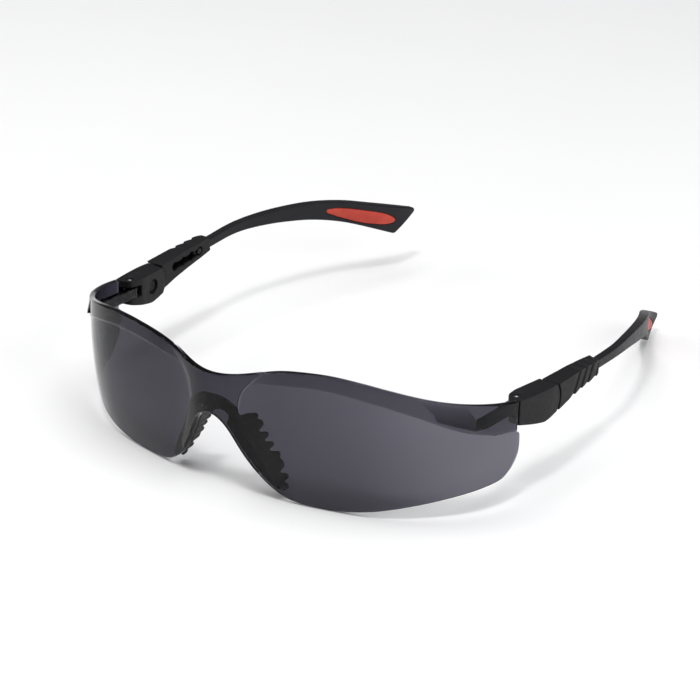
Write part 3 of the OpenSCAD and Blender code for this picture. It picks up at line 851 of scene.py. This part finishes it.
def sleeve_field(x, y, z):
    """The sleeve: a hollow end and a tongue about the tilt pin, a passage for the arm and a click slot."""
    body = both(sleeve_plan(x, y), sleeve_side(y, z), 0.22) + grip_inset(x, y, z)
    arc = length(y - TILT[1], z - TILT[2])
    body = without(body, arc - BLOCK_ROUND - SLEEVE_GAP, 0.1)
    tongue = both(arc - TONGUE_R, slab(x, *TONGUE_X), 0.1)
    neck = np.maximum(np.abs(z - TILT[2]) - NECK_HALF, slab(x, *TONGUE_X))
    neck = np.maximum(neck, slab(y, TILT[1], TILT[1] + BLOCK_ROUND + 1))
    body = np.minimum(body, np.minimum(tongue, neck))
    body = without(body, arc - TILT_PIN_R - PIN_GAP, 0.08)
    off = np.abs(x - slide_x(y) - PASSAGE_OUT) - PASSAGE_HALF
    passage = np.maximum(np.maximum(off, slab(z, PASSAGE_LOW, PASSAGE_HIGH)), PASSAGE_FRONT - y)
    body = without(body, passage, 0.12)
    front = PEG_Y - CLICK_PITCH * (NOTCHES - 1)
    slot = np.maximum(np.abs(z - SLOT_Z) - SLOT_HALF, slab(y, front, PEG_Y))
    for k in range(NOTCHES):
        notch = length(y - front - k * CLICK_PITCH, z - SLOT_Z - NOTCH_RISE) - NOTCH_R
        slot = np.minimum(slot, notch)
    return without(body, np.maximum(slot, x - SLOT_FLOOR_X), 0.14)


def peg_field(x, y, z):
    """The round button in the click slot, with a dimple in its face."""
    r = length(y - PEG_Y, z - SLOT_Z)
    body = both(r - 0.95, slab(x, 67.72, 68.6), 0.16)
    return without(body, length(r, x - 67.5) - 0.36, 0.08)


# ---------------------------------------------------------------- temple arms

# Along the arm: y and x of its centre line, the height of its top edge, its height and its thickness
ARM = np.array([
    [31.6, 69.73, -1.75, 3.0, 2.3], [39, 69.4, -1.75, 3.0, 2.3], [51.5, 68.85, -1.6, 3.25, 2.3],
    [62, 66.8, -2.05, 3.95, 2.5], [72, 64.1, -3.1, 4.8, 2.7], [82, 60.7, -4.65, 5.75, 2.9],
    [92, 56.2, -7.15, 7.0, 3.0], [101, 51.5, -10.45, 8.45, 3.0], [110, 47.6, -13.9, 10.1, 2.8],
    [118.7, 46.1, -17.6, 11.2, 2.4]])


class ArmCurve:
    """The arm as functions of s, the distance along its centre line in plan."""

    def __init__(self):
        t = np.linspace(0, len(ARM) - 1, 3001)
        rows = catmull(ARM, t)
        s = np.concatenate([[0], np.cumsum(np.hypot(*np.diff(rows[:, :2], axis=0).T))])
        self.s = np.linspace(0, s[-1], int(s[-1] / CURVE_STEP) + 1)
        at = [np.interp(self.s, s, rows[:, k]) for k in range(5)]
        step = self.s[1] - self.s[0]
        self.y, self.x, self.top, self.height, self.thick = [smoothed(v, 2.0, step) for v in at]
        dx, dy = np.gradient(self.x), np.gradient(self.y)
        n = np.hypot(dx, dy)
        self.nx, self.ny = dy / n, -dx / n
        self.end = self.s[-1]

    def get(self, name, s):
        v = getattr(self, name)
        if name in ("nx", "ny", "thick"):
            return np.interp(s, self.s, v)
        slope = (v[-1] - v[-6]) / (self.s[-1] - self.s[-6])
        return np.interp(s, self.s, v) + np.maximum(s - self.end, 0) * slope

    def point(self, s, z, d):
        return np.stack([self.get("x", s) + self.get("nx", s) * d,
                         self.get("y", s) + self.get("ny", s) * d, z + 0 * s], -1)

    def at_y(self, y):
        return float(np.interp(y, self.y, self.s))


arm_curve = ArmCurve()


def arm_outline():
    """The arm's side outline, with the two corners of its tip rounded."""
    c = arm_curve
    s_top = np.linspace(0, c.end, 160)
    s_low = np.linspace(c.at_y(108.4), 0, 150)
    top = np.stack([s_top, c.get("top", s_top)], 1)
    low = np.stack([s_low, c.get("top", s_low) - c.get("height", s_low)], 1)
    rounded = fillet([top[-12], top[-1], low[0], low[10]], [0, 0.9, 1.5, 0])
    return np.concatenate([top[:-11], rounded[1:-1], low[10:]])


# How far down the arm's height the insert's edges lie, over the way along it
INSERT_HIGH = [(0, 0.38), (0.15, 0.29), (0.4, 0.275), (0.7, 0.275), (0.82, 0.29), (0.9, 0.33), (0.96, 0.385),
               (0.99, 0.435), (1, 0.47)]
INSERT_LOW = [(0, 0.58), (0.15, 0.745), (0.28, 0.815), (0.41, 0.855), (0.55, 0.84), (0.7, 0.79), (0.83, 0.73),
              (0.92, 0.65), (0.97, 0.575), (0.99, 0.52), (1, 0.47)]


def insert_outline():
    """The red insert's outline: round in front, deepest in the middle, tapering to a point behind."""
    c = arm_curve
    s0, s1 = c.at_y(86.4), c.at_y(109.1)
    f = np.sort(np.concatenate([np.linspace(0, 1, 60), [0.97, 0.98, 0.99, 0.995]]))
    s = s0 + (s1 - s0) * f
    top, height = c.get("top", s), c.get("height", s)
    high = top - height * smoothed(np.interp(f, *zip(*INSERT_HIGH)), 0.02, 1 / 60)
    low = top - height * smoothed(np.interp(f, *zip(*INSERT_LOW)), 0.02, 1 / 60)
    ring = np.concatenate([np.stack([s, high], 1), np.stack([s, low], 1)[::-1]])
    front = fillet([ring[-4], ring[-1], ring[0], ring[3]], [0, 0.75, 0.75, 0])[1:-1]
    return np.concatenate([front, ring[3:-4]])


arm_edge = Outline(arm_outline())
insert_edge = Outline(insert_outline())
INSERT_SHIFT = 4.4      # how much further back the insert comes out on the outer face
INSERT_SLOPE = 0.3      # how much further down it comes out, for each millimetre back
INSERT_GAP = 0.07


def insert_distance(s, z, d):
    """Distance to the insert's outline, which slants back and down through the arm."""
    shift = INSERT_SHIFT * ease(d, -0.8, 1.2)
    return insert_edge(s - shift, z + INSERT_SLOPE * shift)


def arm_field(s, z, d):
    half = arm_curve.get("thick", s) / 2
    body = both(arm_edge(s, z), np.abs(d) - half, 0.42)
    return without(body, insert_distance(s, z, d) - INSERT_GAP, 0.12)


def insert_field(s, z, d):
    half = arm_curve.get("thick", s) / 2
    edge = insert_distance(s, z, d)
    crown = 0.16 * ease(-edge, 0, 1.4)
    return both(edge, np.abs(d) - half + 0.04 - crown, 0.22)


# ---------------------------------------------------------------- materials


class Look:
    """A principled material with small helpers for its procedural nodes, in object coordinates."""

    def __init__(self, name):
        self.material = bpy.data.materials.new(name)
        self.material.use_nodes = True
        self.tree = self.material.node_tree
        self.shader = self.tree.nodes["Principled BSDF"]
        self.out = self.tree.nodes["Material Output"]
        self.where = self.tree.nodes.new("ShaderNodeTexCoord")

    def link(self, a, b):
        self.tree.links.new(a, b)

    def noise(self, size, detail=3.0, roughness=0.5, squash=None):
        """Noise whose features are about size metres across."""
        node = self.tree.nodes.new("ShaderNodeTexNoise")
        node.inputs["Scale"].default_value = 1.0 / size
        node.inputs["Detail"].default_value = detail
        node.inputs["Roughness"].default_value = roughness
        source = self.where.outputs["Object"]
        if squash:
            mapping = self.tree.nodes.new("ShaderNodeMapping")
            mapping.inputs["Scale"].default_value = squash
            self.link(source, mapping.inputs["Vector"])
            source = mapping.outputs["Vector"]
        self.link(source, node.inputs["Vector"])
        return node.outputs["Fac"]

    def ramp(self, source, *stops):
        node = self.tree.nodes.new("ShaderNodeValToRGB")
        points = node.color_ramp.elements
        while len(points) < len(stops):
            points.new(0.5)
        for point, (at, colour) in zip(points, stops):
            point.position = at
            point.color = tuple(colour) + (1,) if hasattr(colour, "__len__") else (colour,) * 3 + (1,)
        self.link(source, node.inputs["Fac"])
        return node.outputs["Color"]

    def bump(self, source, height, strength=1.0, before=None):
        node = self.tree.nodes.new("ShaderNodeBump")
        node.inputs["Distance"].default_value = height
        node.inputs["Strength"].default_value = strength
        self.link(source, node.inputs["Height"])
        if before:
            self.link(before, node.inputs["Normal"])
        return node.outputs["Normal"]

    def set(self, **values):
        for key, value in values.items():
            self.shader.inputs[key.replace("_", " ")].default_value = value


def moulded(name, dark, light, gloss, grain, depth, specular=0.2):
    """Moulded plastic: a fine spark-eroded grain, soft blotches of colour, and uneven gloss."""
    look = Look(name)
    blotch = look.noise(0.009, 4, 0.6)
    look.link(look.ramp(blotch, (0.3, dark), (0.72, light)), look.shader.inputs["Base Color"])
    look.link(look.ramp(look.noise(0.0016, 5, 0.65), (0.3, gloss[0]), (0.7, gloss[1])),
              look.shader.inputs["Roughness"])
    coarse = look.bump(look.noise(0.004, 2), 0.00004, 0.25)
    look.link(look.bump(look.noise(grain, 4, 0.7), depth, 0.6, coarse), look.shader.inputs["Normal"])
    look.set(Specular_IOR_Level=specular)
    return look.material


def smoke_glass():
    """Smoked polycarbonate: clear through, darkened by its thickness, with the faint flow of moulding."""
    look = Look("smoke_polycarbonate")
    look.set(Base_Color=(1, 1, 1, 1), Transmission_Weight=1.0, IOR=1.28)
    look.link(look.ramp(look.noise(0.0022, 6, 0.7), (0.42, 0.012), (0.8, 0.05)),
              look.shader.inputs["Roughness"])
    look.link(look.bump(look.noise(0.014, 1.5), 0.00002, 0.25), look.shader.inputs["Normal"])
    dark = look.tree.nodes.new("ShaderNodeVolumeAbsorption")
    dark.inputs["Color"].default_value = (0.015, 0.0, 0.1, 1)
    dark.inputs["Density"].default_value = 1650
    look.link(dark.outputs["Volume"], look.out.inputs["Volume"])
    return look.material


def steel():
    """Drawn steel, its marks running along the pin."""
    look = Look("pin_steel")
    look.link(look.ramp(look.noise(0.0004, 4, 0.6), (0.3, (0.42, 0.42, 0.43)), (0.7, (0.62, 0.62, 0.63))),
              look.shader.inputs["Base Color"])
    look.link(look.ramp(look.noise(0.00012, 4, 0.6, (1, 1, 0.08)), (0.3, 0.22), (0.75, 0.42)),
              look.shader.inputs["Roughness"])
    look.link(look.bump(look.noise(0.00008, 3, 0.6, (1, 1, 0.05)), 0.00001, 0.5),
              look.shader.inputs["Normal"])
    look.set(Metallic=1.0)
    return look.material


SMOKE = smoke_glass()
STEEL = steel()
BLOCK_BLACK = moulded("hinge_black", (0.0062, 0.0058, 0.0066), (0.0095, 0.009, 0.0102),
                      (0.46, 0.6), 0.00022, 0.00002)
SLEEVE_BLACK = moulded("sleeve_black", (0.0062, 0.0058, 0.0066), (0.0095, 0.0088, 0.01),
                       (0.48, 0.62), 0.00022, 0.00002)
ARM_BLACK = moulded("temple_black", (0.008, 0.0073, 0.0088), (0.012, 0.011, 0.0135),
                    (0.36, 0.5), 0.0003, 0.000015)
NOSE_BLACK = moulded("nose_rubber", (0.006, 0.0056, 0.0066), (0.0095, 0.009, 0.0105),
                     (0.45, 0.62), 0.0003, 0.000004)
TIP_RED = moulded("tip_red", (0.36, 0.026, 0.014), (0.52, 0.055, 0.03), (0.38, 0.55), 0.0003, 0.00003, 0.35)
# The look of each of the temples' material slots
LOOKS = {
    "hinge_black": BLOCK_BLACK, "pin_steel": STEEL, "sleeve_black": SLEEVE_BLACK,
    "temple_black": ARM_BLACK, "tip_red": TIP_RED,
}

# ---------------------------------------------------------------- the pieces

# Each shape's field, the box it is meshed in, the size of its cells and how often its grid is smoothed
FIELDS = {
    "lug": (lug_field, (64.8, -17.2, -6.1), (70.6, 2.6, -1.6), 0.18),
    "shoulder": (shoulder_field, (59.43, -5.97, 0.53), (75.9, 6.0, 3.2), 0.14),
    "bridge": (bridge_field, (-20.5, -30.6, -2.6), (20.5, -2.0, 0.6), 0.25),
    "pad": (pad_field, (-0.4, -1.2, -1.5), (10.6, 24.7, 1.5), 0.14),
    "block": (block_field, (64.9, -3.5, -10.3), (73.3, 16.3, 0.6), 0.13),
    "pin": (hinge_pin_field, (66.6, -1.5, -8.4), (69.4, 1.5, -0.2), 0.1),
    "tilt": (tilt_pin_field, (66.3, 6.5, -6.9), (72.2, 11.1, -2.3), 0.12),
    "sleeve": (sleeve_field, (66.63, 3.81, -9.22), (73.6, 39.7, 0.5), 0.13, 2),
    "peg": (peg_field, (67.4, 32.0, -4.8), (69.0, 34.8, -2.0), 0.09),
    "arm": (arm_field, (-0.6, -30.0, -2.2), (arm_curve.end + 1, -0.9, 2.2), 0.24),
    "insert": (insert_field, (54.03, -25.02, -2.21), (96.0, -5.0, 2.2), 0.18),
}
shapes = {name: surface(*given) for name, given in FIELDS.items()}


def piece(name, shape, side=1, tilted=False, bend=None):
    """An object of one of the shapes, bent by its own curve if it has one, on the asked side."""
    points, quads = shapes[shape]
    if bend is not None:
        points = bend(points)
    return new_mesh(name, home(points, side, tilted), quads, side)


def bend_as_lens(p):
    return lens_curve.point(p[:, 0], p[:, 1], p[:, 2])


def build_lens():
    points, quads = lens_shell()
    lens = new_mesh("smoked_lens", home(points), quads)
    for side in (1, -1):
        joined(lens, piece("lug", "lug", side))
        joined(lens, piece("shoulder", "shoulder", side, bend=bend_as_lens))
    settle(lens, "front", SMOKE, ["lens"])


def build_nose():
    bridge = piece("nose_band", "bridge", bend=bend_as_lens)
    settle(bridge, "front", NOSE_BLACK, ["nose_bridge"])
    turn = pad_turn()
    for side, word in ((1, "left"), (-1, "right")):
        pad = piece(f"nose_fins_{word}", "pad", side, bend=lambda p: p @ turn.T + PAD_TOP)
        settle(pad, "front", NOSE_BLACK, [f"nose_pad_{word}"])


def bend_as_arm(p):
    return arm_curve.point(p[:, 0], p[:, 1], p[:, 2])


def build_temple(side, word):
    """One side's block, pins, sleeve, peg, arm and insert."""
    block, sleeve, temple = f"hinge_{word}", f"sleeve_{word}", f"temple_{word}"
    parts = [
        ("block", "block", block, "hinge_black", "hinge_block", None),
        ("steel_pin", "pin", block, "pin_steel", "hinge_pin", None),
        ("tilt_button", "tilt", block, "hinge_black", "tilt_pin", None),
        ("grip_sleeve", "sleeve", sleeve, "sleeve_black", "sleeve", None),
        ("click_peg", "peg", temple, "temple_black", "length_peg", None),
        ("arm", "arm", temple, "temple_black", "temple_arm", bend_as_arm),
        ("red_insert", "insert", temple, "tip_red", "tip_insert", bend_as_arm),
    ]
    for name, shape, body, slot, node, bend in parts:
        ob = piece(f"{name}_{word}", shape, side, body != block, bend)
        settle(ob, body, LOOKS[slot], [f"{node}_{word}"])


build_lens()
build_nose()
for side, word in ((1, "left"), (-1, "right")):
    build_temple(side, word)

# ---------------------------------------------------------------- stage and light


def add_floor():
    """A plain pale table top, fine enough to take its faint surface from noise."""
    n, reach = 24, 3.0
    low = cad_box[0][2] - 0.0002
    line = np.linspace(-reach, reach, n + 1)
    points = [(x, y, low) for x in line for y in line]
    quads = [(i * (n + 1) + j, (i + 1) * (n + 1) + j, (i + 1) * (n + 1) + j + 1, i * (n + 1) + j + 1)
             for i in range(n) for j in range(n)]
    look = Look("pale_table")
    look.link(look.ramp(look.noise(0.3, 3), (0.3, (0.86, 0.86, 0.86)), (0.7, (0.88, 0.88, 0.88))),
              look.shader.inputs["Base Color"])
    look.link(look.ramp(look.noise(0.05, 3), (0.3, 0.75), (0.7, 0.9)), look.shader.inputs["Roughness"])
    look.set(Specular_IOR_Level=0.2)
    floor = new_mesh("floor", points, quads)
    floor.data.materials.append(look.material)


def add_light(name, azimuth, elevation, distance, size, power, colour=(1, 1, 1)):
    """A soft box that faces the object."""
    a, e = math.radians(azimuth), math.radians(elevation)
    spot = Vector((math.sin(a) * math.cos(e), -math.cos(a) * math.cos(e), math.sin(e))) * distance
    data = bpy.data.lights.new(name, "AREA")
    data.shape = "RECTANGLE"
    data.size = size
    data.size_y = size
    data.energy = power
    data.color = colour
    light = bpy.data.objects.new(name, data)
    light.location = spot
    light.rotation_euler = (-spot).to_track_quat("-Z", "Y").to_euler()
    bpy.context.scene.collection.objects.link(light)


def add_world():
    world = bpy.data.worlds.new("studio")
    world.use_nodes = True
    world.node_tree.nodes["Background"].inputs["Color"].default_value = (0.93, 0.95, 1.0, 1)
    world.node_tree.nodes["Background"].inputs["Strength"].default_value = 0.16
    bpy.context.scene.world = world


add_floor()
add_world()
add_light("top_box", 0, 88, 1.5, 1.6, 18)
add_light("key", 20, 66, 1.2, 0.16, 3.6)
add_light("right_box", 80, 22, 0.9, 0.7, 4.5, (0.97, 0.98, 1.0))
add_light("left_box", -60, 30, 1.0, 0.5, 2.5, (1.0, 0.98, 0.95))
bpy.context.scene.view_settings.view_transform = "Standard"
